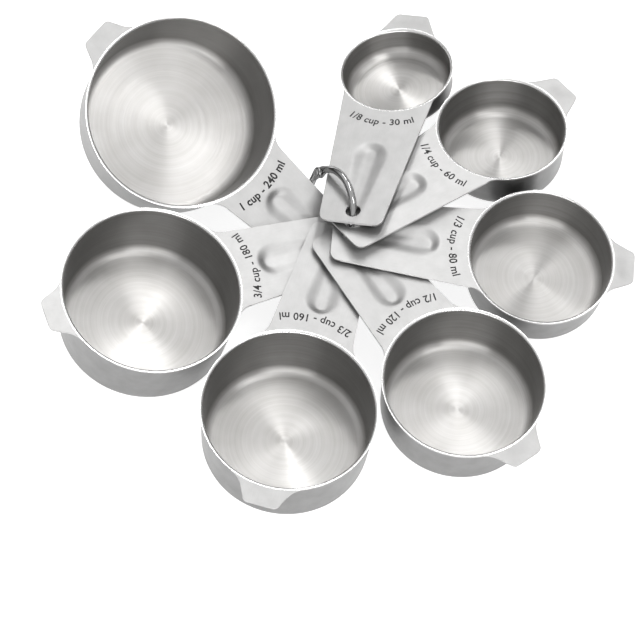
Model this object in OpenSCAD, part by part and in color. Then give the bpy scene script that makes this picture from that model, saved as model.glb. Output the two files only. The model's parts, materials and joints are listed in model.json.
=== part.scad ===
// Measuring cup set: seven one-piece steel cups threaded by their handles on a hinged ring.
// Millimetres, +Z up. The cups stand on z = 0 and the set's footprint is centred on the origin.
// A cup's own frame: origin at its hole, +X along the handle to the bowl, z = 0 on the sheet's top.

/* [Cup sizes] */
// Inner diameter of the 1/8 cup
eighth_d = 53; // [50:0.5:53]
// Inner depth of the 1/8 cup
eighth_depth = 14.5; // [12:0.5:15]
// Inner diameter of the 1/4 cup
quarter_d = 61; // [58:0.5:61]
// Inner depth of the 1/4 cup
quarter_depth = 22.5; // [20:0.5:24]
// Inner diameter of the 1/3 cup
third_d = 68; // [65:0.5:68]
// Inner depth of the 1/3 cup
third_depth = 24.5; // [22:0.5:26]
// Inner diameter of the 1/2 cup
half_d = 75; // [72:0.5:75]
// Inner depth of the 1/2 cup
half_depth = 30; // [27:0.5:31]
// Inner diameter of the 2/3 cup
two_thirds_d = 80.5; // [77:0.5:80.5]
// Inner depth of the 2/3 cup
two_thirds_depth = 34.5; // [31:0.5:36]
// Inner diameter of the 3/4 cup
three_quarter_d = 83.5; // [80:0.5:83.5]
// Inner depth of the 3/4 cup
three_quarter_depth = 36; // [33:0.5:38]
// Inner diameter of the 1 cup
full_d = 90; // [86:0.5:90]
// Inner depth of the 1 cup
full_depth = 41; // [38:0.5:43]

/* [How the cups lie] */
// 1/8 cup: heading of its handle, then the handle's pitch and roll, in degrees
eighth_lie = [76, 14.5, -10]; // [-180:0.5:180]
// 1/4 cup: heading, pitch and roll
quarter_lie = [37.5, 8, -10]; // [-180:0.5:180]
// 1/3 cup: heading, pitch and roll
third_lie = [-5.5, 5.5, -2]; // [-180:0.5:180]
// 1/2 cup: heading, pitch and roll
half_lie = [-53, -0.5, -6]; // [-180:0.5:180]
// 2/3 cup: heading, pitch and roll
two_thirds_lie = [-105, -5.5, -2.5]; // [-180:0.5:180]
// 3/4 cup: heading, pitch and roll
three_quarter_lie = [-160.5, -10, -0.5]; // [-180:0.5:180]
// 1 cup: heading, pitch and roll
full_lie = [141.5, -20.5, -5.5]; // [-180:0.5:180]

/* [Sheet] */
// Thickness of the drawn sheet
sheet_t = 1; // [0.8:0.1:1]
// Lean of the bowl's wall from upright, in degrees
wall_taper = 3; // [1:0.5:5]
// Inner radius between wall and floor
floor_fillet = 5; // [3:0.5:6]
// Width of the rolled lip, from the bowl's inner edge
lip_w = 1.5; // [1.2:0.1:1.5]
// Radius of the bend from wall to lip
bend_r = 1; // [0.6:0.1:1]

/* [Handle and spout] */
// From the handle's hole to the bowl's axis
reach = 93; // [92:0.5:96]
// Width at the handle's end
handle_w = 30.4; // [26:0.2:32]
// Angle by which each side of the handle opens towards the bowl
handle_splay = 4.9; // [2:0.1:5]
// From the hole to the handle's end
end_margin = 7.5; // [6:0.5:9]
// Hole for the ring
hole_d = 7.2; // [6.6:0.1:8]
// Rounded corners at the handle's end
corner_r = 4; // [2:0.5:6]
// Concave corner between handle and lip
handle_flare = 10; // [6:1:12]
// How far the pouring tab stands out from the lip
tab_out = 9.5; // [7:0.5:11]
// Width of the tab's outer edge
tab_w = 15.6; // [12:0.2:17]
// Angle by which each side of the tab opens towards the bowl
tab_splay = 25; // [15:1:26]
// Rounded corners at the tab's edge
tab_corner = 3; // [2:0.5:4]
// Concave corner between tab and lip
tab_flare = 11; // [6:1:12]

/* [Thumb scoop] */
// Width of the pressed thumb scoop
scoop_w = 17.5; // [14:0.5:19]
// Longest distance from the hole to the scoop's deep end
scoop_far = 44; // [38:1:46]
// Metal left between the scoop and the bowl's inner edge
scoop_land = 12; // [11:0.5:14]
// Depth at the deep end, from where the scoop rises to nothing at the handle's end
scoop_depth = 2; // [1:0.1:2]

/* [Ring] */
// Radius of the ring's wire centre line
ring_r = 18.2; // [17.5:0.1:18.5]
// Wire diameter
wire_d = 3.4; // [3:0.1:3.6]
// Height of the ring's centre above the table
ring_z = 32; // [31.5:0.1:32.5]
// Heading of the ring's plane, in degrees
ring_heading = 110.5; // [108:0.5:116]
// Lean of the ring's plane from upright, in degrees
ring_lean = -32; // [-36:0.5:-28]
// Place of the hinge round the ring, in degrees from its outermost point
hinge_at = 8; // [0:1:15]
// Place of the snap end round the ring
clasp_at = 243; // [240:1:246]
// Diameter of the flat hinge eyes
eye_d = 5.6; // [5:0.1:6]
// Diameter of the rivet's shank
rivet_d = 1.6; // [1.4:0.1:2]

/* [Hidden] */
$fn = 96;

// Middle of the ring, placed so that the set's footprint is centred on the origin
ring_middle = [-5.4, 20.8, ring_z];
// How far the cutting tools reach past a face
past = 1;
// How far a rounded corner's circle crosses the edges that it runs into
cross = 0.02;
// Play of the hinge: between its flat eyes, and round the rivet
eye_gap = 0.2;
rivet_play = 0.06;
// The eyes stand a little proud of the wire, and the rivet's heads lie on them
eye_half_t = wire_d / 2 + 0.2;
head_d = 3.4;
head_t = 0.7;
// Room round an eye for the other half's eye, and the gap at the snap end in degrees
eye_room = 0.3;
clasp_gap = 0.7;
// Snap cone on the gate, and the socket that takes it
cone_r = 1.1;
cone_tip_r = 0.35;
cone_h = 1.1;
cone_play = 0.2;

// Radius of the flat floor
function floor_r(d, depth) =
    d / 2 - (depth - floor_fillet) * tan(wall_taper) - floor_fillet / cos(wall_taper);

// Angle between a cup's own +Z and the vertical
function tip(lie) = acos(cos(lie[1]) * cos(lie[2]));

// Height of the rim's centre when the rounded edge of the floor touches the table
function rim_z(d, depth, lie) =
    (depth - floor_fillet) * cos(tip(lie)) + floor_r(d, depth) * sin(tip(lie)) + floor_fillet + sheet_t;

// Height of the handle's hole, at the middle of the sheet
function hole_z(d, depth, lie) =
    rim_z(d, depth, lie) + reach * sin(lie[1]) - sheet_t / 2 * cos(tip(lie));

// Place round the ring where the wire is at a given height, on the side of the handles
function wire_angle(z) = 180 - asin(max(-1, min(1, (z - ring_z) / (ring_r * cos(ring_lean)))));

// A point of the wire's centre line
function wire_point(a) =
    ring_middle + ring_r * [
        cos(a) * cos(ring_heading) - sin(a) * sin(ring_lean) * sin(ring_heading),
        cos(a) * sin(ring_heading) + sin(a) * sin(ring_lean) * cos(ring_heading),
        sin(a) * cos(ring_lean)
    ];

// Distance from the hole to the scoop's deep end
function scoop_end(d) = min(scoop_far, reach - d / 2 - scoop_land);

module on_ring(d, depth, lie) {
    translate(wire_point(wire_angle(hole_z(d, depth, lie))))
        rotate([lie[2], lie[1], lie[0]])
            translate([0, 0, sheet_t / 2])
                children();
}

// A flat arm that runs out from the bowl's centre along +X, flared into the lip
module arm(lip_r, out, end_w, splay, corner, flare) {
    side = [sin(splay), cos(splay)];
    along = [cos(splay), -sin(splay)];
    foot = (end_w / 2 + out * tan(splay)) * cos(splay);
    corner_mid = [out - corner, end_w / 2 + corner * tan(splay) - corner / cos(splay)];
    flare_mid = (foot + flare) * side
        + sqrt((lip_r + flare) ^ 2 - (foot + flare) ^ 2) * along;
    difference() {
        polygon([
            [out, -end_w / 2], [out, end_w / 2],
            foot * side, [foot * side[0], -foot * side[1]]
        ]);
        for (flip = [0, 1])
            mirror([0, flip])
                difference() {
                    polygon([
                        corner_mid, corner_mid + [2 * corner, 0],
                        corner_mid + 2 * corner * [1, 1], corner_mid + 2 * corner * side
                    ]);
                    translate(corner_mid)
                        circle(corner + cross);
                }
    }
    for (flip = [0, 1])
        mirror([0, flip])
            difference() {
                polygon([
                    [0, 0], flare_mid - (flare + past) * side,
                    flare_mid, flare_mid * (lip_r - past) / (lip_r + flare)
                ]);
                translate(flare_mid)
                    circle(flare + cross);
            }
}

// Lip, handle and pouring tab in one flat outline, centred on the bowl
module flange_outline(d) {
    lip_r = d / 2 + lip_w;
    circle(lip_r);
    rotate(180)
        arm(lip_r, reach + end_margin, handle_w, handle_splay, corner_r, handle_flare);
    arm(lip_r, lip_r + tab_out, tab_w, tab_splay, tab_corner, tab_flare);
}

// Half section of the bowl's cavity, or of its outside when skin is the sheet's thickness
module bowl_section(d, depth, skin, top) {
    middle = [floor_r(d, depth), floor_fillet - depth];
    round_r = floor_fillet + skin;
    polygon([
        [0, top],
        [d / 2 + top * tan(wall_taper) + skin / cos(wall_taper), top],
        middle + round_r * [cos(wall_taper), -sin(wall_taper)],
        middle,
        [middle[0], -depth - skin],
        [0, -depth - skin]
    ]);
    translate(middle)
        circle(round_r);
}

// The rounded edge where the wall bends out into the lip
module bend_section(d) {
    difference() {
        translate([d / 2 - past, -bend_r])
            square([bend_r + past, bend_r + past]);
        translate([d / 2 + bend_r, -bend_r])
            circle(bend_r);
        translate([d / 2 + bend_r - past, 0])
            square([past, past]);
    }
}

// The scoop's tongue shape, cut above a plane that sinks from the handle's end to the deep end
module scoop(d, wall, drop) {
    deep_x = scoop_end(d);
    slope = atan(scoop_depth / (deep_x + end_margin));
    tongue_w = scoop_w + 2 * wall;
    intersection() {
        translate([0, 0, -scoop_depth - 2 * sheet_t])
            linear_extrude(scoop_depth + 2 * sheet_t + (wall > 0 ? -sheet_t / 2 : past)) {
                translate([-end_margin, -tongue_w / 2])
                    square([deep_x + end_margin - scoop_w / 2, tongue_w]);
                translate([deep_x - scoop_w / 2, 0])
                    circle(d = tongue_w);
            }
        translate([-end_margin, -tongue_w, -drop])
            rotate([0, slope, 0])
                translate([-past, 0, 0])
                    cube([deep_x + end_margin + 2 * past, 2 * tongue_w, scoop_depth + 3 * sheet_t + past]);
    }
}

module cup(d, depth) {
    difference() {
        union() {
            translate([reach, 0, 0]) {
                rotate_extrude()
                    bowl_section(d, depth, sheet_t, -sheet_t / 2);
                translate([0, 0, -sheet_t])
                    linear_extrude(sheet_t)
                        flange_outline(d);
            }
            scoop(d, sheet_t, sheet_t);
        }
        translate([reach, 0, 0])
            rotate_extrude() {
                bowl_section(d, depth, 0, past);
                bend_section(d);
            }
        scoop(d, 0, 0);
        cylinder(d = hole_d, h = 6 * sheet_t, center = true);
    }
}

module eighth_cup() {
    color("silver")
        on_ring(eighth_d, eighth_depth, eighth_lie)
            cup(eighth_d, eighth_depth);
}

module quarter_cup() {
    color("gainsboro")
        on_ring(quarter_d, quarter_depth, quarter_lie)
            cup(quarter_d, quarter_depth);
}

module third_cup() {
    color("silver")
        on_ring(third_d, third_depth, third_lie)
            cup(third_d, third_depth);
}

module half_cup() {
    color("gainsboro")
        on_ring(half_d, half_depth, half_lie)
            cup(half_d, half_depth);
}

module two_thirds_cup() {
    color("silver")
        on_ring(two_thirds_d, two_thirds_depth, two_thirds_lie)
            cup(two_thirds_d, two_thirds_depth);
}

module three_quarter_cup() {
    color("gainsboro")
        on_ring(three_quarter_d, three_quarter_depth, three_quarter_lie)
            cup(three_quarter_d, three_quarter_depth);
}

module full_cup() {
    color("silver")
        on_ring(full_d, full_depth, full_lie)
            cup(full_d, full_depth);
}

// The ring's own frame: its circle in the XY plane, +X to its outermost point, +Y up
module in_ring_frame() {
    translate(ring_middle)
        rotate([90 - ring_lean, 0, ring_heading])
            children();
}

module wire(from, to) {
    rotate(from)
        rotate_extrude(angle = to - from)
            translate([ring_r, 0])
                circle(d = wire_d);
}

// Moves to the hinge's centre, with the flat side of the eye given by up = 1 or -1
module at_hinge(up) {
    rotate(hinge_at)
        translate([ring_r, 0, 0])
            mirror([0, 0, up < 0 ? 1 : 0])
                children();
}

// A wire's end made into a flat eye on one side of the ring's plane
module with_eye(up) {
    difference() {
        union() {
            difference() {
                children();
                at_hinge(up)
                    translate([0, 0, eye_gap / 2 - wire_d])
                        cylinder(d = eye_d + 2 * eye_room, h = wire_d);
            }
            at_hinge(up)
                translate([0, 0, eye_gap / 2])
                    cylinder(d = eye_d, h = eye_half_t - eye_gap / 2);
        }
        at_hinge(up)
            cylinder(d = rivet_d + 2 * rivet_play, h = 2 * wire_d, center = true);
    }
}

// Moves to the snap end, with +Z along the wire from the gate into the hoop
module at_clasp(a) {
    rotate(a)
        translate([ring_r, 0, 0])
            rotate([90, 0, 0])
                children();
}

module ring_hoop() {
    color("dimgray")
        in_ring_frame()
            difference() {
                with_eye(1)
                    wire(hinge_at, clasp_at);
                at_clasp(clasp_at)
                    translate([0, 0, -clasp_gap])
                        cylinder(r1 = cone_r + cone_play + clasp_gap / 2, r2 = cone_tip_r + cone_play,
                            h = cone_h + cone_play + clasp_gap);
            }
}

module ring_gate() {
    color("gray")
        in_ring_frame()
            union() {
                with_eye(-1)
                    wire(clasp_at + clasp_gap, 360 + hinge_at);
                at_clasp(clasp_at + clasp_gap)
                    translate([0, 0, -cone_h / 2])
                        cylinder(r1 = cone_r, r2 = cone_tip_r, h = 1.5 * cone_h);
            }
}

module ring_rivet() {
    color("lightgray")
        in_ring_frame()
            at_hinge(1) {
                cylinder(d = rivet_d, h = 2 * eye_half_t + head_t, center = true);
                for (side = [-1, 1])
                    translate([0, 0, side * (eye_half_t + head_t / 2 + rivet_play)])
                        cylinder(d = head_d, h = head_t, center = true);
            }
}

eighth_cup();
quarter_cup();
third_cup();
half_cup();
two_thirds_cup();
three_quarter_cup();
full_cup();
ring_hoop();
ring_gate();
ring_rivet();
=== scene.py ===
"""Looks of the measuring cup set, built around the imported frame.

Lengths are millimetres, unless a comment says metres or a name ends in _M or _m. A cup is built in its
own frame: origin on the bowl's axis at the sheet's top, +X towards the pouring tab, -X towards the handle.
"""
import json
from math import atan, atan2, ceil, cos, hypot, pi, radians, sin, sqrt, tan

import bmesh
import bpy
import numpy as np
from mathutils import Matrix, Vector


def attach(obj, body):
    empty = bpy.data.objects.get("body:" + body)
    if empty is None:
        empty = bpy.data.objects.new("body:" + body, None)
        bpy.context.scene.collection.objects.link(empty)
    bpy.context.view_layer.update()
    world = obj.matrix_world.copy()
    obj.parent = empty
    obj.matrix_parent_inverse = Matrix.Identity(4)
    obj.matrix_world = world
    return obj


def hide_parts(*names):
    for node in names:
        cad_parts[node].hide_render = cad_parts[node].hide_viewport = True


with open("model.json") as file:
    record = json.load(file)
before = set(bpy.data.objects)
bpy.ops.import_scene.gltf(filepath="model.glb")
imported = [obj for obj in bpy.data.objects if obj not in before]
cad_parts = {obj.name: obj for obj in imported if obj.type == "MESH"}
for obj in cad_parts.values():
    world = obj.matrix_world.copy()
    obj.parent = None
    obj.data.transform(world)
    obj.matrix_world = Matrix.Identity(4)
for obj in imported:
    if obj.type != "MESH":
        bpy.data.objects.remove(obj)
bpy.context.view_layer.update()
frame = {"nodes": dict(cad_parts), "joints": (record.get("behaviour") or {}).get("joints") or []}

MM = 0.001
# How near to a cup's bottom and top a vertex of the CAD mesh counts as on it
BASE_NEAR_M = 2e-5
RIM_NEAR_M = 2e-6

# The drawn sheet, as in the CAD model: thickness, wall's slope, radius between wall and floor, lip's width
# past the wall, and radius of the lip's bend there
SHEET = 1.0
TAPER = radians(3)
FILLET = 5.0
LIP_W = 1.5
CAD_BEND = 1.0
# The rounded edge where the wall turns out into the lip, a little softer than the CAD model's
BEND = 1.3
# The sheet's cut edges are rounded off by this
EDGE_ROUND = 0.2

# Handle and pouring tab
HANDLE_W = 30.4
HANDLE_SPLAY = radians(4.9)
HANDLE_CORNER = 4.0
HANDLE_FLARE = 10.0
# How far the handle goes on past the middle of its hole
HANDLE_END = 7.5
HOLE_R = 3.6
TAB_OUT = 9.5
TAB_W = 15.6
TAB_SPLAY = radians(25)
TAB_CORNER = 3.0
TAB_FLARE = 11.0
# The tab is dished a little, so that it pours in one stream; the dish is full at this share of its length
TAB_DISH = 0.2
TAB_DISH_FULL = 0.7

# Thumb scoop: its width, how far from the hole it ends at most, and how far from the bowl at least
SCOOP_W = 17.5
SCOOP_FAR = 44.0
SCOOP_LAND = 12.0
SCOOP_DEPTH = 2.0
# As shares of the scoop's half width: where its soft edge starts, how far its end and its sides take to
# go down, and how narrow it gets towards the handle's end
SCOOP_EDGE = 1.03
SCOOP_WALL = 0.5
SCOOP_SIDE = 0.85
SCOOP_TIP = 0.45

# Mesh of a cup: numbers of steps, and lengths of one step
FLOOR_RINGS = 8
FILLET_RINGS = 10
BEND_RINGS = 7
WALL_STEP = 1.2
AROUND_STEP = 1.4
ARM_STEP = 0.75
FLARE_STEPS = 13
CORNER_STEPS = 8
HANDLE_COLUMNS = 48
TAB_COLUMNS = 26
# How far from the lip an arm's rows go from bent with the lip to straight across
STRAIGHT_AFTER = 6.0
# The width of the mesh round the ring hole, and how far across it each of its rings is
HOLE_BORDER = 1.9
HOLE_RINGS = (0.3, 0.6, 0.82, 1.0)
# The UV map holds the brushing's direction. One radian round a bowl is this long in it
UV_TURN = 40.0

# Graduations: the height of the capitals, the distance from the bowl to the letters, and how deep the
# inlay starts and how thick it is
LETTER_H = 4.0
LABEL_AT = 8.6
LABEL_Z = -0.06
LABEL_T = 0.08
# The font's capitals as a share of its size, and how much narrower than the font the letters are
FONT_CAPITALS = 0.73
LETTER_NARROW = 0.93
LETTER_SPACE = 1.04
# Stroke thickening, as a share of the font's size. The largest cup's mark is struck deeper
STROKE = 0.018
STROKE_FULL = 0.03

# Ring: radius to the wire's middle, the wire's radius, and how the ring's plane is turned and leans
RING_R = 18.2
WIRE_R = 1.7
RING_HEADING = radians(110.5)
RING_LEAN = radians(-32)
# Degrees round the ring
HINGE_AT = 8.0
CLASP_AT = 243.0
CLASP_GAP = 0.7
# The flat eyes at the hinge: radius, and heights of their inner and outer faces
EYE_R = 2.8
EYE_IN = 0.1
EYE_OUT = 1.9
# The first section of an eye: a hair inside its edge, with this half width
EYE_TRIM = 0.002
EYE_TIP = 0.1414
EYE_STEPS = 8
# The length over which an eye turns into round wire. It narrows faster than it gets round
EYE_NECK = 7.5
NECK_STEPS = 14
NECK_NARROWS = 1.3
WIRE_SIDES = 28
WIRE_STEP = 3.0
# Degrees of the ring for a millimetre of wire
WIRE_DEGREE = 180 / pi / RING_R
# The gate's tip: the half widths where it starts and ends, its length, and the degrees of its first step
TIP_WIDE, TIP_NARROW, TIP_LENGTH = 1.1, 0.5, 0.8
TIP_STEP = 0.01
# The rivet's heads: radius, where the dome starts and how high it is, and (radius, height) of two points
# under the head, the second on the shank
RIVET_HEAD_R = 1.7
RIVET_DOME_Z = 2.06
RIVET_DOME = 0.6
RIVET_STEM = ((1.62, 1.96), (0.8, 1.94))
RIVET_SIDES = 32

LABELS = {
    "eighth": "1/8 cup - 30 ml",
    "quarter": "1/4 cup - 60 ml",
    "third": "1/3 cup - 80 ml",
    "half": "1/2 cup - 120 ml",
    "two_thirds": "2/3 cup - 160 ml",
    "three_quarter": "3/4 cup - 180 ml",
    "full": "1 cup - 240 ml",
}

# Tint of the metals' glancing reflection; below 1 it keeps steep surfaces from going white
EDGE_TINT = 0.75
RING_EDGE_TINT = 0.05

# The floor is lit from below a little, as a studio's light table is, and lies just clear of the cups
FLOOR_GLOW = 0.8
FLOOR_HALF_M = 3.0
FLOOR_DROP_M = 0.0002
# From this height on the sky to that one (as a sine), the brightness rises from this to that
SKY = (0.1, 0.62, 0.2, 1.02)
# Name, place and size in metres, and power of each light. The bowls' floors mirror the three streaks
LIGHTS = (
    ("streak_far", (-0.03, 1.15, 0.84), (0.10, 0.6), 2.3),
    ("streak_high", (0.22, 0.62, 1.17), (0.10, 0.8), 2.7),
    ("streak_near", (0.48, -0.17, 1.26), (0.10, 0.6), 2.3),
    ("front", (0.0, -1.2, 0.75), (1.3, 0.25), 5.5),
)

# The camera looks down at a point on the table from in front. Place and distance are in metres
LOOK_AT = (-0.0101, -0.0242, 0.0)
ELEVATION = radians(66.7)
DISTANCE = 1.674
LENS = 195.2
SENSOR = 36.0


# ---------------------------------------------------------------- the frame

def node_arrays(node):
    """A CAD node's vertices in metres, and its faces' normals and areas."""
    mesh = frame["nodes"][node].data
    verts = np.array([v.co for v in mesh.vertices])
    normals = np.array([p.normal for p in mesh.polygons])
    areas = np.array([p.area for p in mesh.polygons])
    return verts, normals, areas


def sheet_normal(normals, areas):
    """The upward direction that most of a cup's surface faces."""
    keys = np.round(normals, 3)
    up = keys[:, 2] > 0.5
    unique, index = np.unique(keys[up], axis=0, return_inverse=True)
    total = np.bincount(index.ravel(), areas[up])
    near = np.linalg.norm(normals - unique[total.argmax()], axis=1) < 0.003
    mean = (normals[near] * areas[near, None]).sum(0)
    return mean / np.linalg.norm(mean)


def measure_cup(name):
    """Where a cup is and how large its bowl is, from its CAD node and its joint."""
    joint = next(j for j in frame["joints"] if j["child"] == name)
    verts, normals, areas = node_arrays(name + "_cup")
    up = sheet_normal(normals, areas)
    height = verts @ up
    top, bottom = height.max(), height.min()
    hole = np.array(joint["pos_m"])
    hole = hole + up * (top - hole @ up)
    base = verts[height < bottom + BASE_NEAR_M]
    centre = base.mean(0) - hole
    centre -= up * (centre @ up)
    # The middle of the base is found again as the handle's direction gets better
    for _ in range(3):
        along = centre / np.linalg.norm(centre)
        across = np.cross(up, along)
        x, y = (base - hole) @ along, (base - hole) @ across
        centre = (x.min() + x.max()) / 2 * along + (y.min() + y.max()) / 2 * across
    reach = np.linalg.norm(centre)
    along = centre / reach
    across = np.cross(up, along)
    axis = hole + centre
    rim = verts[height > top - RIM_NEAR_M] - axis
    inner = np.hypot(rim @ along, rim @ across).min() / MM - CAD_BEND
    matrix = Matrix.Identity(4)
    for row in range(3):
        matrix[row] = (along[row], across[row], up[row], axis[row])
    return {
        "matrix": matrix,
        "radius": inner,
        "depth": (top - bottom) / MM - SHEET,
        "reach": reach / MM,
    }


# ---------------------------------------------------------------- shapes

def arm_outline(lip_r, out, end_w, splay, corner, flare):
    """One side of an arm's edge, from where it leaves the lip to the middle of its end."""
    side = np.array([sin(splay), cos(splay)])
    along = np.array([cos(splay), -sin(splay)])
    foot = (end_w / 2 + out * tan(splay)) * cos(splay)
    corner_mid = np.array([out - corner, end_w / 2 + corner * tan(splay) - corner / cos(splay)])
    flare_mid = (foot + flare) * side + sqrt((lip_r + flare) ** 2 - (foot + flare) ** 2) * along
    lip_angle = atan2(-flare_mid[1], -flare_mid[0])
    side_angle = atan2(-side[1], -side[0])
    flare_arc = [flare_mid + flare * np.array([cos(a), sin(a)])
                 for a in np.linspace(lip_angle, side_angle, FLARE_STEPS + 1)]
    start = corner_mid + corner * side
    steps = max(2, ceil((start[0] - flare_arc[-1][0]) / ARM_STEP))
    straight = [flare_arc[-1] + (start - flare_arc[-1]) * k / steps for k in range(1, steps + 1)]
    turn = atan2(side[1], side[0])
    corner_arc = [corner_mid + corner * np.array([cos(a), sin(a)])
                  for a in turn * (1 - np.linspace(0, 1, CORNER_STEPS + 1)[1:])]
    return flare_arc + straight + corner_arc


def arm_rows(lip_r, edge, columns):
    """Rows of points across an arm, from the lip's circle out to the arm's end."""
    flat_x = max(lip_r, edge[FLARE_STEPS][0]) + STRAIGHT_AFTER
    lip_x = edge[0][0]
    rows = []
    for x, y in edge:
        share = min(1.0, (x - lip_x) / (flat_x - lip_x))
        sag = (lip_r - lip_x) * (1 - share)
        half = 2 * atan(sag / y)
        row = []
        for t in np.linspace(-1, 1, columns + 1):
            if half > 1e-4:
                r = y / sin(half)
                row.append((x + sag - r * (1 - cos(half * t)), r * sin(half * t)))
            else:
                row.append((x, y * t))
        rows.append(row)
    return rows


def smooth(t):
    """From 0 to 1 with soft ends, as t goes from 0 to 1."""
    t = min(1.0, max(0.0, t))
    return t * t * (3 - 2 * t)


def scoop_drop(along, y, deep):
    """Depth of the thumb scoop at a place given from the hole, along the handle and across it.

    It runs out to nothing towards the handle's end, and narrows on the way.
    """
    middle = deep - SCOOP_W / 2
    share = min(1.0, max(0.0, (along + HANDLE_END) / (middle + HANDLE_END)))
    half = SCOOP_W / 2 * (SCOOP_TIP + (1 - SCOOP_TIP) * share)
    past = max(0.0, along - middle)
    reach = hypot(past, y)
    end_share = (past / reach) ** 2 if past else 0.0
    wall = SCOOP_SIDE + (SCOOP_WALL - SCOOP_SIDE) * end_share
    drop = SCOOP_DEPTH * max(0.0, along + HANDLE_END) / (deep + HANDLE_END)
    return drop * smooth((SCOOP_EDGE - reach / half) / wall)


def bowl_profile(radius, depth):
    """Points (r, z) of the bowl's inside, from its middle to the lip's edge."""
    floor_r = radius - (depth - FILLET) * tan(TAPER) - FILLET / cos(TAPER)
    bend_mid = radius - BEND * tan(TAPER) + BEND / cos(TAPER)
    points = [(floor_r * k / FLOOR_RINGS, -depth) for k in range(FLOOR_RINGS + 1)]
    for k in range(1, FILLET_RINGS + 1):
        a = (pi / 2 - TAPER) * k / FILLET_RINGS
        points.append((floor_r + FILLET * sin(a), -depth + FILLET * (1 - cos(a))))
    low = points[-1]
    wall = (bend_mid - BEND * cos(TAPER) - low[0], -BEND + BEND * sin(TAPER) - low[1])
    steps = max(6, ceil(wall[1] / WALL_STEP))
    for k in range(1, steps + 1):
        points.append((low[0] + wall[0] * k / steps, low[1] + wall[1] * k / steps))
    for k in range(1, BEND_RINGS + 1):
        a = TAPER + (pi / 2 - TAPER) * k / BEND_RINGS
        points.append((bend_mid - BEND * cos(a), -BEND + BEND * sin(a)))
    points.append((radius + LIP_W, 0.0))
    return points


class Sheet:
    """The upper surface of a cup under construction."""

    def __init__(self):
        self.bm = bmesh.new()
        self.uv = self.bm.loops.layers.uv.new("brush")

    def vert(self, x, y, z):
        return self.bm.verts.new((x * MM, y * MM, z * MM))

    def face(self, corners, uvs, zone):
        face = self.bm.faces.new(corners)
        face.material_index = zone
        face.smooth = True
        for loop, uv in zip(face.loops, uvs):
            loop[self.uv].uv = (uv[0] * MM, uv[1] * MM)


# The places of a cup's materials in its list
INSIDE, FLANGE, OUTSIDE, LIP = 0, 1, 2, 3


def add_bowl(sheet, profile, angles):
    """The bowl as rings of vertices, one for each angle. Returns the outermost ring."""
    count = len(angles)
    length = [0.0]
    for a, b in zip(profile, profile[1:]):
        length.append(length[-1] + hypot(b[0] - a[0], b[1] - a[1]))
    middle = sheet.vert(0, 0, profile[0][1])
    rings = [[sheet.vert(r * cos(a), r * sin(a), z) for a in angles] for r, z in profile[1:]]
    lip_start = len(profile) - 2 - BEND_RINGS
    for k in range(count):
        n = (k + 1) % count
        a, b = angles[k] * UV_TURN, (angles[k + 1] if n else angles[0] + 2 * pi) * UV_TURN
        sheet.face((middle, rings[0][k], rings[0][n]),
                   ((0, (a + b) / 2), (length[1], a), (length[1], b)), INSIDE)
        for i in range(len(rings) - 1):
            zone = LIP if i >= lip_start else INSIDE
            u, v = length[i + 1], length[i + 2]
            sheet.face((rings[i][k], rings[i + 1][k], rings[i + 1][n], rings[i][n]),
                       ((u, a), (v, a), (v, b), (u, b)), zone)
    return rings[-1]


def add_arm(sheet, rows, lip_verts, flip, height, hole=None):
    """An arm's grid from the lip outwards. hole is (rows, columns) of its square, and its centre."""
    sign = -1 if flip else 1
    (r0, r1), (c0, c1), middle = hole or ((0, 0), (0, 0), None)
    verts = [lip_verts]
    skip = {(i, j) for i in range(r0 + 1, r1) for j in range(c0 + 1, c1)}
    for i, row in enumerate(rows[1:], 1):
        verts.append([None if (i, j) in skip else sheet.vert(sign * x, sign * y, height(x, y))
                      for j, (x, y) in enumerate(row)])
    for i in range(len(rows) - 1):
        for j in range(len(rows[0]) - 1):
            if r0 <= i < r1 and c0 <= j < c1:
                continue
            corners = ((i, j), (i + 1, j), (i + 1, j + 1), (i, j + 1))
            uvs = [(rows[a][b][1], rows[a][b][0]) for a, b in corners]
            sheet.face([verts[a][b] for a, b in corners], uvs, FLANGE)
    if hole:
        border = ([(r0, j) for j in range(c0, c1)] + [(i, c1) for i in range(r0, r1)]
                  + [(r1, j) for j in range(c1, c0, -1)] + [(i, c0) for i in range(r1, r0, -1)])
        add_hole(sheet, [verts[i][j] for i, j in border], [rows[i][j] for i, j in border], middle,
                 lambda x, y: sheet.vert(sign * x, sign * y, height(x, y)))


def add_hole(sheet, outer, outer_xy, middle, vert):
    """Rings of faces that lead from a square of the grid in to the ring hole's edge."""
    rings, places = [outer], [outer_xy]
    for share in HOLE_RINGS:
        place = []
        for x, y in outer_xy:
            dx, dy = x - middle[0], y - middle[1]
            reach = hypot(dx, dy)
            r = reach + (HOLE_R - reach) * share
            place.append((middle[0] + dx / reach * r, middle[1] + dy / reach * r))
        rings.append([vert(x, y) for x, y in place])
        places.append(place)
    for a in range(len(rings) - 1):
        for k in range(len(outer)):
            n = (k + 1) % len(outer)
            corners = ((a, k), (a, n), (a + 1, n), (a + 1, k))
            uvs = [(places[p][q][1], places[p][q][0]) for p, q in corners]
            sheet.face([rings[p][q] for p, q in corners][::-1], uvs[::-1], FLANGE)


def hole_square(rows, reach):
    """The block of an arm's grid round the hole that the hole's own rings take up."""
    half = HOLE_R + HOLE_BORDER
    middle = len(rows[0]) // 2
    inside = [i for i, row in enumerate(rows) if abs(row[middle][0] - reach) <= half]
    row = rows[inside[len(inside) // 2]]
    across = [j for j, point in enumerate(row) if abs(point[1]) <= half]
    return (inside[0], inside[-1]), (across[0], across[-1]), (reach, 0.0)


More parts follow.
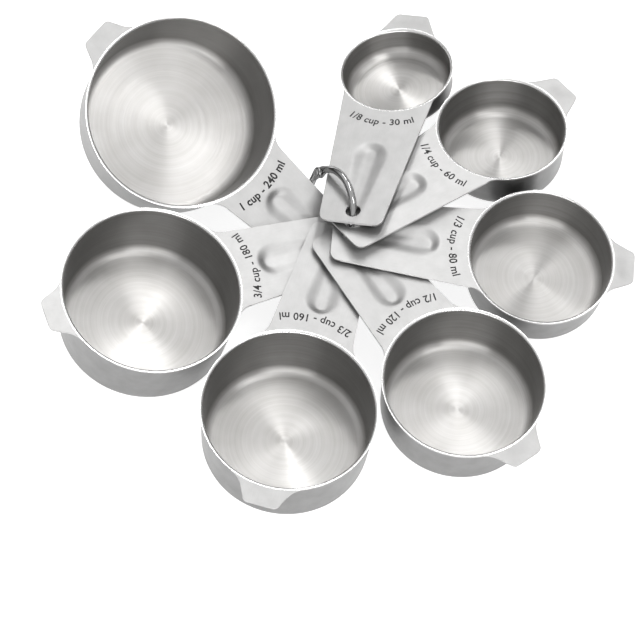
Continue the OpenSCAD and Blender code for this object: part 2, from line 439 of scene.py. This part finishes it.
def thicken(sheet):
    """Gives the sheet its underside and its edges, and rounds the edges."""
    bm = sheet.bm
    bmesh.ops.recalc_face_normals(bm, faces=bm.faces)
    if sum(f.normal.z * f.calc_area() for f in bm.faces) < 0:
        bmesh.ops.reverse_faces(bm, faces=bm.faces)
    bm.normal_update()
    top_faces = list(bm.faces)
    rim = [e for e in bm.edges if e.is_boundary]
    under = {v: bm.verts.new(v.co - v.normal * SHEET * MM) for v in list(bm.verts)}
    uv = sheet.uv
    for face in top_faces:
        copy = bm.faces.new([under[v] for v in reversed(face.verts)])
        copy.smooth = True
        copy.material_index = OUTSIDE
        for loop, source in zip(copy.loops, reversed(list(face.loops))):
            loop[uv].uv = source[uv].uv
    edges = []
    for edge in rim:
        loop = edge.link_loops[0]
        a, b = loop.vert, loop.link_loop_next.vert
        side = bm.faces.new((b, a, under[a], under[b]))
        side.smooth = True
        side.material_index = FLANGE
        edges.append(edge)
        edges.append(bm.edges.get((under[a], under[b])))
    bmesh.ops.bevel(bm, geom=edges, offset=EDGE_ROUND * MM, segments=2, profile=0.5,
                    affect="EDGES", clamp_overlap=True)
    bm.normal_update()


def new_object(name, bm, materials, matrix):
    """A piece from a mesh in its own frame.

    The materials find the place in that frame in "place", in mm, and 0 for level to 1 for upright
    surfaces in "steep".
    """
    mesh = bpy.data.meshes.new(name)
    bm.to_mesh(mesh)
    bm.free()
    place = np.empty(len(mesh.vertices) * 3, np.float32)
    mesh.vertices.foreach_get("co", place)
    layer = mesh.attributes.new("place", "FLOAT_VECTOR", "POINT")
    layer.data.foreach_set("vector", place / MM)
    normals = np.empty(len(mesh.vertices) * 3, np.float32)
    mesh.vertex_normals.foreach_get("vector", normals)
    steep = mesh.attributes.new("steep", "FLOAT", "POINT")
    steep.data.foreach_set("value", 1 - np.abs(normals[2::3]))
    mesh.transform(matrix)
    for material in materials:
        mesh.materials.append(material)
    obj = bpy.data.objects.new(name, mesh)
    bpy.context.scene.collection.objects.link(obj)
    return obj


def spread_angles(handle_half, tab_half, lip_r):
    """Angles of the bowl's vertices, and where the handle's begin. The tab's begin the list.

    The tab's grid is at 0 degrees and the handle's at 180.
    """
    def between(a, b):
        steps = max(4, ceil((b - a) * lip_r / AROUND_STEP))
        return [a + (b - a) * k / steps for k in range(1, steps)]

    tab = [tab_half * t for t in np.linspace(-1, 1, TAB_COLUMNS + 1)]
    handle = [pi + handle_half * t for t in np.linspace(-1, 1, HANDLE_COLUMNS + 1)]
    before_handle = tab + between(tab[-1], handle[0])
    return before_handle + handle + between(handle[-1], 2 * pi + tab[0]), len(before_handle)


def build_cup(name, materials):
    """One cup as a single drawn sheet, in place of its CAD node. Returns its measures."""
    size = measure_cup(name)
    radius, depth, reach = size["radius"], size["depth"], size["reach"]
    lip_r = radius + LIP_W
    handle = arm_outline(lip_r, reach + HANDLE_END, HANDLE_W, HANDLE_SPLAY, HANDLE_CORNER, HANDLE_FLARE)
    tab = arm_outline(lip_r, lip_r + TAB_OUT, TAB_W, TAB_SPLAY, TAB_CORNER, TAB_FLARE)
    handle_half, tab_half = (atan2(edge[0][1], edge[0][0]) for edge in (handle, tab))
    angles, handle_at = spread_angles(handle_half, tab_half, lip_r)
    sheet = Sheet()
    rim = add_bowl(sheet, bowl_profile(radius, depth), angles)
    deep = min(SCOOP_FAR, reach - radius - SCOOP_LAND)

    def handle_height(x, y):
        return -scoop_drop(reach - x, y, deep)

    def tab_height(x, y):
        run = smooth((x - lip_r) / (TAB_DISH_FULL * TAB_OUT))
        return -TAB_DISH * run * max(0.0, 1 - (2 * y / TAB_W) ** 2)

    rows = arm_rows(lip_r, handle, HANDLE_COLUMNS)
    add_arm(sheet, rows, rim[handle_at:handle_at + HANDLE_COLUMNS + 1], True, handle_height,
            hole_square(rows, reach))
    add_arm(sheet, arm_rows(lip_r, tab, TAB_COLUMNS), rim[:TAB_COLUMNS + 1], False, tab_height)
    thicken(sheet)
    cup = new_object(name + "_cup_sheet", sheet.bm, materials, size["matrix"])
    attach(cup, name)
    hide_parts(name + "_cup")
    return size


def flat_text(name):
    """The faces of a cup's graduation, one font size high, from Blender's built-in font."""
    curve = bpy.data.curves.new(name + "_text", "FONT")
    curve.body = LABELS[name]
    curve.size = 1.0
    curve.align_x = "CENTER"
    curve.space_character = LETTER_SPACE
    curve.resolution_u = 3
    curve.offset = STROKE_FULL if name == "full" else STROKE
    text = bpy.data.objects.new(name + "_text", curve)
    bpy.context.scene.collection.objects.link(text)
    bpy.context.view_layer.update()
    graph = bpy.context.evaluated_depsgraph_get()
    mesh = bpy.data.meshes.new_from_object(text.evaluated_get(graph))
    bpy.data.objects.remove(text)
    bpy.data.curves.remove(curve)
    bm = bmesh.new()
    bm.from_mesh(mesh)
    bpy.data.meshes.remove(mesh)
    return bm


def build_label(name, size, material):
    """The capacity, as an inlay in the handle on an arc round the bowl."""
    bm = flat_text(name)
    height = LETTER_H / FONT_CAPITALS
    width = LETTER_NARROW * height
    baseline = size["radius"] + LABEL_AT + LETTER_H / 2
    for v in bm.verts:
        angle = pi + v.co.x * width / (baseline - LETTER_H / 2)
        r = baseline - v.co.y * height
        v.co = Vector((r * cos(angle), r * sin(angle), LABEL_Z)) * MM
    for face in bm.faces:
        face.normal_update()
        if face.normal.z < 0:
            face.normal_flip()
    made = bmesh.ops.extrude_face_region(bm, geom=list(bm.faces))
    for v in [g for g in made["geom"] if isinstance(g, bmesh.types.BMVert)]:
        v.co.z += LABEL_T * MM
    bmesh.ops.recalc_face_normals(bm, faces=bm.faces)
    label = new_object(name + "_graduation", bm, [material], size["matrix"])
    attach(label, name)


# ---------------------------------------------------------------- ring

def ring_matrix():
    """The ring's own frame, from its joint: the hinge is on the wire, and its axis is the ring's."""
    joint = next(j for j in frame["joints"] if j["child"] == "gate")
    axis = Vector(joint["axis"]).normalized()
    turn = Matrix.Rotation(RING_HEADING, 4, "Z") @ Matrix.Rotation(pi / 2 - RING_LEAN, 4, "X")
    hinge = radians(HINGE_AT)
    centre = Vector(joint["pos_m"]) - turn @ (Vector((cos(hinge), sin(hinge), 0)) * RING_R * MM)
    off = (turn @ Vector((0, 0, 1)) - axis).length
    assert off < 0.001, "the ring's axis is not where the CAD has it"
    return Matrix.Translation(centre) @ turn


def sweep(sections):
    """A closed skin round the ring through sections (angle in degrees, half width, low z, high z)."""
    bm = bmesh.new()
    rings = []
    for angle, half, low, high in sections:
        a = radians(angle)
        mid, tall = (low + high) / 2, (high - low) / 2
        ring = []
        for k in range(WIRE_SIDES):
            t = 2 * pi * k / WIRE_SIDES
            r = RING_R + half * cos(t)
            ring.append(bm.verts.new(Vector((r * cos(a), r * sin(a), mid + tall * sin(t))) * MM))
        rings.append(ring)
    for one, two in zip(rings, rings[1:]):
        for k in range(WIRE_SIDES):
            n = (k + 1) % WIRE_SIDES
            bm.faces.new((one[k], one[n], two[n], two[k])).smooth = True
    for ring in (rings[0], rings[-1]):
        bm.faces.new(ring)
    bmesh.ops.recalc_face_normals(bm, faces=bm.faces)
    return bm


def eye_sections(toward, up):
    """The flat eye that a wire's end is hammered into, from the hinge out to the round wire."""
    low, high = (EYE_IN, EYE_OUT) if up > 0 else (-EYE_OUT, -EYE_IN)
    sections = []
    for k in range(EYE_STEPS + 1):
        s = -EYE_R + EYE_R * k / EYE_STEPS * 0.999 + EYE_TRIM
        half = max(EYE_TIP, sqrt(EYE_R ** 2 - s ** 2))
        sections.append((HINGE_AT + toward * s * WIRE_DEGREE, half, low, high))
    for k in range(1, NECK_STEPS + 1):
        share = k / NECK_STEPS
        t = smooth(share)
        half = EYE_R + (WIRE_R - EYE_R) * smooth(share * NECK_NARROWS)
        sections.append((HINGE_AT + toward * EYE_NECK * share * WIRE_DEGREE, half,
                         low + (-WIRE_R - low) * t, high + (WIRE_R - high) * t))
    return sections


def wire_sections(start, stop):
    """Round wire from one angle to another, in degrees."""
    count = max(2, ceil(abs(stop - start) / WIRE_STEP))
    return [(start + (stop - start) * k / count, WIRE_R, -WIRE_R, WIRE_R) for k in range(1, count + 1)]


def build_ring(matrix, chrome, plain):
    """The hoop and the gate meet at the hinge and at the clasp, where the gate's tip is tapered."""
    gate_end = CLASP_AT + CLASP_GAP - 360
    hoop = eye_sections(1, 1)
    hoop += wire_sections(hoop[-1][0], CLASP_AT)
    gate = eye_sections(-1, -1)
    gate += wire_sections(gate[-1][0], gate_end)
    gate.append((gate_end - TIP_STEP, TIP_WIDE, -TIP_WIDE, TIP_WIDE))
    gate.append((gate_end - TIP_LENGTH * WIRE_DEGREE, TIP_NARROW, -TIP_NARROW, TIP_NARROW))
    parts = (("ring_hoop_wire", sweep(hoop), chrome, "ring", "ring_hoop", "ring_steel"),
             ("ring_gate_wire", sweep(gate), chrome, "gate", "ring_gate", "ring_steel"),
             ("ring_rivet_head", rivet_shape(), plain, "ring", "ring_rivet", "rivet_steel"))
    for name, bm, material, body, node, slot in parts:
        part = new_object(name, bm, [material], matrix)
        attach(part, body)
        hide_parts(node)


def rivet_shape():
    """A rivet with a domed head on each side of the eyes."""
    bm = bmesh.new()
    x, y = (RING_R * f(radians(HINGE_AT)) for f in (cos, sin))
    half = [(0.0, RIVET_DOME_Z + RIVET_DOME)]
    half += [(RIVET_HEAD_R * sin(t), RIVET_DOME_Z + RIVET_DOME * cos(t))
             for t in np.linspace(0.25, pi / 2, 6)]
    half += RIVET_STEM
    rings = []
    for r, z in half + [(r, -z) for r, z in reversed(half)]:
        turns = [2 * pi * k / RIVET_SIDES for k in range(RIVET_SIDES if r else 1)]
        rings.append([bm.verts.new(Vector((x + r * cos(t), y + r * sin(t), z)) * MM) for t in turns])
    for one, two in zip(rings, rings[1:]):
        for k in range(RIVET_SIDES):
            n = (k + 1) % RIVET_SIDES
            corners = (one[k % len(one)], two[k % len(two)], two[n % len(two)], one[n % len(one)])
            bm.faces.new(list(dict.fromkeys(corners))).smooth = True
    bmesh.ops.recalc_face_normals(bm, faces=bm.faces)
    return bm


# ---------------------------------------------------------------- materials

class Nodes:
    """A short way to write a material's node tree."""

    def __init__(self, name):
        self.material = bpy.data.materials.new(name)
        self.material.use_nodes = True
        self.tree = self.material.node_tree
        self.tree.nodes.clear()
        self.out = self.tree.nodes.new("ShaderNodeOutputMaterial")
        self.shader = self.tree.nodes.new("ShaderNodeBsdfPrincipled")
        self.link(self.shader.outputs[0], self.out.inputs[0])

    def node(self, kind, **values):
        made = self.tree.nodes.new("ShaderNode" + kind)
        for key, value in values.items():
            if key in made.inputs:
                self.put(made.inputs[key], value)
            else:
                setattr(made, key, value)
        return made

    def put(self, socket, value):
        if isinstance(value, bpy.types.NodeSocket):
            self.link(value, socket)
        else:
            socket.default_value = value

    def link(self, source, target):
        self.tree.links.new(source, target)

    def math(self, operation, a, b=0.0, c=0.0):
        made = self.tree.nodes.new("ShaderNodeMath")
        made.operation = operation
        for socket, value in zip(made.inputs, (a, b, c)):
            self.put(socket, value)
        return made.outputs[0]

    def noise(self, vector, scale, detail=3.0, rough=0.55):
        made = self.node("TexNoise", Vector=vector, Scale=scale, Detail=detail, Roughness=rough)
        return made.outputs["Fac"]

    def ramp(self, value, low, high, out_low, out_high):
        made = self.tree.nodes.new("ShaderNodeMapRange")
        for socket, item in zip(made.inputs, (value, low, high, out_low, out_high)):
            self.put(socket, item)
        return made.outputs[0]

    def join(self, x, y, z=0.0):
        return self.node("CombineXYZ", X=x, Y=y, Z=z).outputs[0]

    def place(self):
        """The place on the surface in the piece's own frame, in millimetres, as x, y, z."""
        place = self.node("Attribute", attribute_name="place").outputs["Vector"]
        return self.node("SeparateXYZ", Vector=place).outputs[0:3]

    def around(self, x, y, size):
        """The distance from the bowl's axis, and the direction from it as a place on a circle."""
        r = self.math("SQRT", self.math("ADD", self.math("MULTIPLY", x, x), self.math("MULTIPLY", y, y)))
        safe = self.math("ADD", r, 0.1)
        side, front = (self.math("DIVIDE", self.math("MULTIPLY", c, size), safe) for c in (x, y))
        return r, side, front

    def mix(self, share, a, b):
        made = self.tree.nodes.new("ShaderNodeMix")
        made.data_type = "RGBA"
        self.put(made.inputs["Factor"], share)
        self.put(made.inputs["A"], a)
        self.put(made.inputs["B"], b)
        return made.outputs["Result"]

    def finish(self, color, rough, height, metallic=1.0, bump=0.02, aniso=0.0):
        """Sets the surface. bump is the relief in mm for a height from 0 to 1, and aniso the brushing."""
        self.put(self.shader.inputs["Base Color"], color)
        self.put(self.shader.inputs["Roughness"], rough)
        self.shader.inputs["Metallic"].default_value = metallic
        if aniso:
            self.shader.inputs["Anisotropic"].default_value = aniso
            tangent = self.node("Tangent", direction_type="UV_MAP", uv_map="brush")
            self.link(tangent.outputs[0], self.shader.inputs["Tangent"])
        made = self.node("Bump", Height=height, Strength=1.0, Distance=bump * MM)
        self.link(made.outputs[0], self.shader.inputs["Normal"])
        return self.material


def grey(value, warm=0.0):
    """A grey, made warmer by more red and less blue."""
    return (value * (1 + warm), value, value * (1 - 1.4 * warm), 1.0)


def spun_steel():
    """The bowls' insides: fine concentric lines over a soft mottling, with painted shade that darkens the
    walls.
    """
    n = Nodes("spun_steel")
    x, y, z = n.place()
    r, side, front = n.around(x, y, 0.12)
    place = n.join(n.math("ADD", r, z), side, front)
    fine = n.noise(place, 3.2, 3.0, 0.65)
    broad = n.noise(place, 0.5, 2.0, 0.5)
    mottle = n.noise(n.join(x, y, z), 0.07, 2.0, 0.5)
    lines = n.math("ADD", n.math("MULTIPLY", broad, 0.35), n.math("MULTIPLY", mottle, 0.3))
    tone = n.math("ADD", n.math("MULTIPLY", fine, 0.35), lines)
    share = n.ramp(tone, 0.35, 0.65, 0.0, 1.0)
    floor_tone = n.mix(share, grey(0.40, 0.025), grey(0.53, 0.012))
    # Painted shade: steep walls get a darker colour of the same steel than the floor, standing in for the
    # dim light the walls reflect.
    wall_painted_shade_tone = n.mix(share, grey(0.23, 0.025), grey(0.32, 0.012))
    steep = n.node("Attribute", attribute_name="steep").outputs["Fac"]
    color = n.mix(n.ramp(steep, 0.45, 1.0, 0.0, 1.0), floor_tone, wall_painted_shade_tone)
    rough = n.ramp(fine, 0.3, 0.7, 0.33, 0.40)
    n.shader.inputs["Specular Tint"].default_value = grey(EDGE_TINT)
    height = n.math("ADD", fine, n.math("MULTIPLY", broad, 0.8))
    return n.finish(color, rough, height, bump=0.007, aniso=0.94)


def satin_steel(name, low, high, rough_low, rough_high, lines):
    """Flat satin steel with brushing along the handle, or round the outside of a bowl."""
    n = Nodes(name)
    x, y, z = n.place()
    if lines == "along":
        place = n.join(n.math("MULTIPLY", x, 0.06), n.math("MULTIPLY", y, 2.2), z)
    else:
        _, side, front = n.around(x, y, 3.0)
        place = n.join(side, front, n.math("MULTIPLY", z, 2.2))
    fine = n.noise(place, 1.6, 4.0, 0.7)
    mottle = n.noise(n.join(x, y, z), 0.12, 3.0, 0.55)
    wear = n.noise(n.join(x, y, z), 0.9, 2.0, 0.5)
    tone = n.math("ADD", n.math("MULTIPLY", fine, 0.5), n.math("MULTIPLY", mottle, 0.5))
    color = n.mix(n.ramp(tone, 0.3, 0.7, 0.0, 1.0), grey(low, 0.006), grey(high, 0.004))
    rough = n.math("ADD", n.ramp(fine, 0.3, 0.7, rough_low, rough_high), n.math("MULTIPLY", wear, 0.04))
    return n.finish(color, rough, n.math("ADD", fine, n.math("MULTIPLY", wear, 0.3)), bump=0.006, aniso=0.35)


def ring_chrome():
    """Bright plating over wire, with fine scratches and duller patches."""
    n = Nodes("ring_chrome")
    x, y, z = n.place()
    scratch = n.noise(n.join(x, y, z), 1.4, 3.0, 0.5)
    dull = n.noise(n.join(x, y, z), 0.25, 2.0, 0.5)
    color = n.mix(dull, grey(0.34), grey(0.52))
    rough = n.ramp(scratch, 0.3, 0.75, 0.05, 0.12)
    n.shader.inputs["Specular Tint"].default_value = grey(RING_EDGE_TINT)
    return n.finish(color, rough, scratch, bump=0.0008)


def rivet_steel():
    """Plain steel with a coarse grain."""
    n = Nodes("rivet_steel")
    x, y, z = n.place()
    grain = n.noise(n.join(x, y, z), 3.0, 4.0, 0.6)
    color = n.mix(grain, grey(0.30), grey(0.5))
    return n.finish(color, n.ramp(grain, 0.3, 0.7, 0.25, 0.45), grain, bump=0.01)


def etched_mark():
    """The dark, rough inlay of the graduations."""
    n = Nodes("etched_mark")
    x, y, z = n.place()
    grain = n.noise(n.join(x, y, z), 6.0, 3.0, 0.6)
    color = n.mix(grain, grey(0.015), grey(0.06))
    return n.finish(color, n.ramp(grain, 0.3, 0.7, 0.6, 0.85), grain, metallic=0.2, bump=0.02)


def floor_material():
    """A pale, matt light table."""
    n = Nodes("pale_floor")
    x, y, z = n.place()
    grain = n.noise(n.join(x, y, z), 0.02, 2.0, 0.5)
    color = n.mix(grain, grey(0.86), grey(0.88))
    n.shader.inputs["Specular IOR Level"].default_value = 0.1
    n.shader.inputs["Emission Color"].default_value = grey(1.0)
    n.shader.inputs["Emission Strength"].default_value = FLOOR_GLOW
    return n.finish(color, n.ramp(grain, 0.3, 0.7, 0.85, 0.9), grain, metallic=0.0, bump=0.001)


# ---------------------------------------------------------------- studio

def area_light(name, place, size, power):
    """A rectangular light that faces the middle of the set."""
    light = bpy.data.lights.new(name, "AREA")
    light.shape = "RECTANGLE"
    light.size, light.size_y = size
    light.energy = power
    obj = bpy.data.objects.new(name, light)
    bpy.context.scene.collection.objects.link(obj)
    obj.location = place
    obj.rotation_euler = (-Vector(place)).to_track_quat("-Z", "Y").to_euler()


def sky():
    """Light from all round: dim near the table, bright overhead."""
    world = bpy.data.worlds.new("studio")
    bpy.context.scene.world = world
    world.use_nodes = True
    tree = world.node_tree
    tree.nodes.clear()
    out = tree.nodes.new("ShaderNodeOutputWorld")
    light = tree.nodes.new("ShaderNodeBackground")
    coord = tree.nodes.new("ShaderNodeTexCoord")
    split = tree.nodes.new("ShaderNodeSeparateXYZ")
    rise = tree.nodes.new("ShaderNodeMapRange")
    rise.interpolation_type = "SMOOTHSTEP"
    for socket, value in zip(rise.inputs[1:5], SKY):
        socket.default_value = value
    tree.links.new(coord.outputs["Generated"], split.inputs[0])
    tree.links.new(split.outputs[2], rise.inputs[0])
    tree.links.new(rise.outputs[0], light.inputs[1])
    tree.links.new(light.outputs[0], out.inputs[0])


def studio():
    sky()
    for name, place, size, power in LIGHTS:
        area_light(name, place, size, power)
    bpy.context.scene.view_settings.view_transform = "Standard"
    corners = [(x * FLOOR_HALF_M, y * FLOOR_HALF_M, 0) for x, y in ((-1, -1), (1, -1), (1, 1), (-1, 1))]
    mesh = bpy.data.meshes.new("studio_floor")
    mesh.from_pydata(corners, [], [(0, 1, 2, 3)])
    place = mesh.attributes.new("place", "FLOAT_VECTOR", "POINT")
    place.data.foreach_set("vector", [c / MM for corner in corners for c in corner])
    mesh.materials.append(floor_material())
    floor = bpy.data.objects.new("studio_floor", mesh)
    floor.location.z = -FLOOR_DROP_M
    bpy.context.scene.collection.objects.link(floor)


def camera():
    """The photo's camera, far off with a long lens, in front of the set and above it."""
    data = bpy.data.cameras.new("camera")
    data.sensor_width = SENSOR
    data.lens = LENS
    data.clip_start = 0.05
    obj = bpy.data.objects.new("camera", data)
    obj.location = Vector(LOOK_AT) + Vector((0, -cos(ELEVATION), sin(ELEVATION))) * DISTANCE
    obj.rotation_euler = (pi / 2 - ELEVATION, 0, 0)
    bpy.context.scene.collection.objects.link(obj)
    bpy.context.scene.camera = obj


def main():
    camera()
    studio()
    inside = spun_steel()
    flange = satin_steel("satin_flange", 0.44, 0.55, 0.42, 0.52, "along")
    # Painted shade: the bowls' outsides are the same steel as the handles, painted much darker so that the
    # front light leaves them dim.
    outside = satin_steel("satin_outside_painted_shade", 0.16, 0.24, 0.28, 0.40, "around")
    # The lip is smoother, as polished steel is, and is also painted lighter than the rest of the steel: a
    # painted highlight along the bend into the flange.
    lip = satin_steel("polished_lip_painted_highlight", 0.68, 0.78, 0.20, 0.28, "around")
    mark = etched_mark()
    for name in LABELS:
        size = build_cup(name, [inside, flange, outside, lip])
        build_label(name, size, mark)
    build_ring(ring_matrix(), ring_chrome(), rivet_steel())


main()
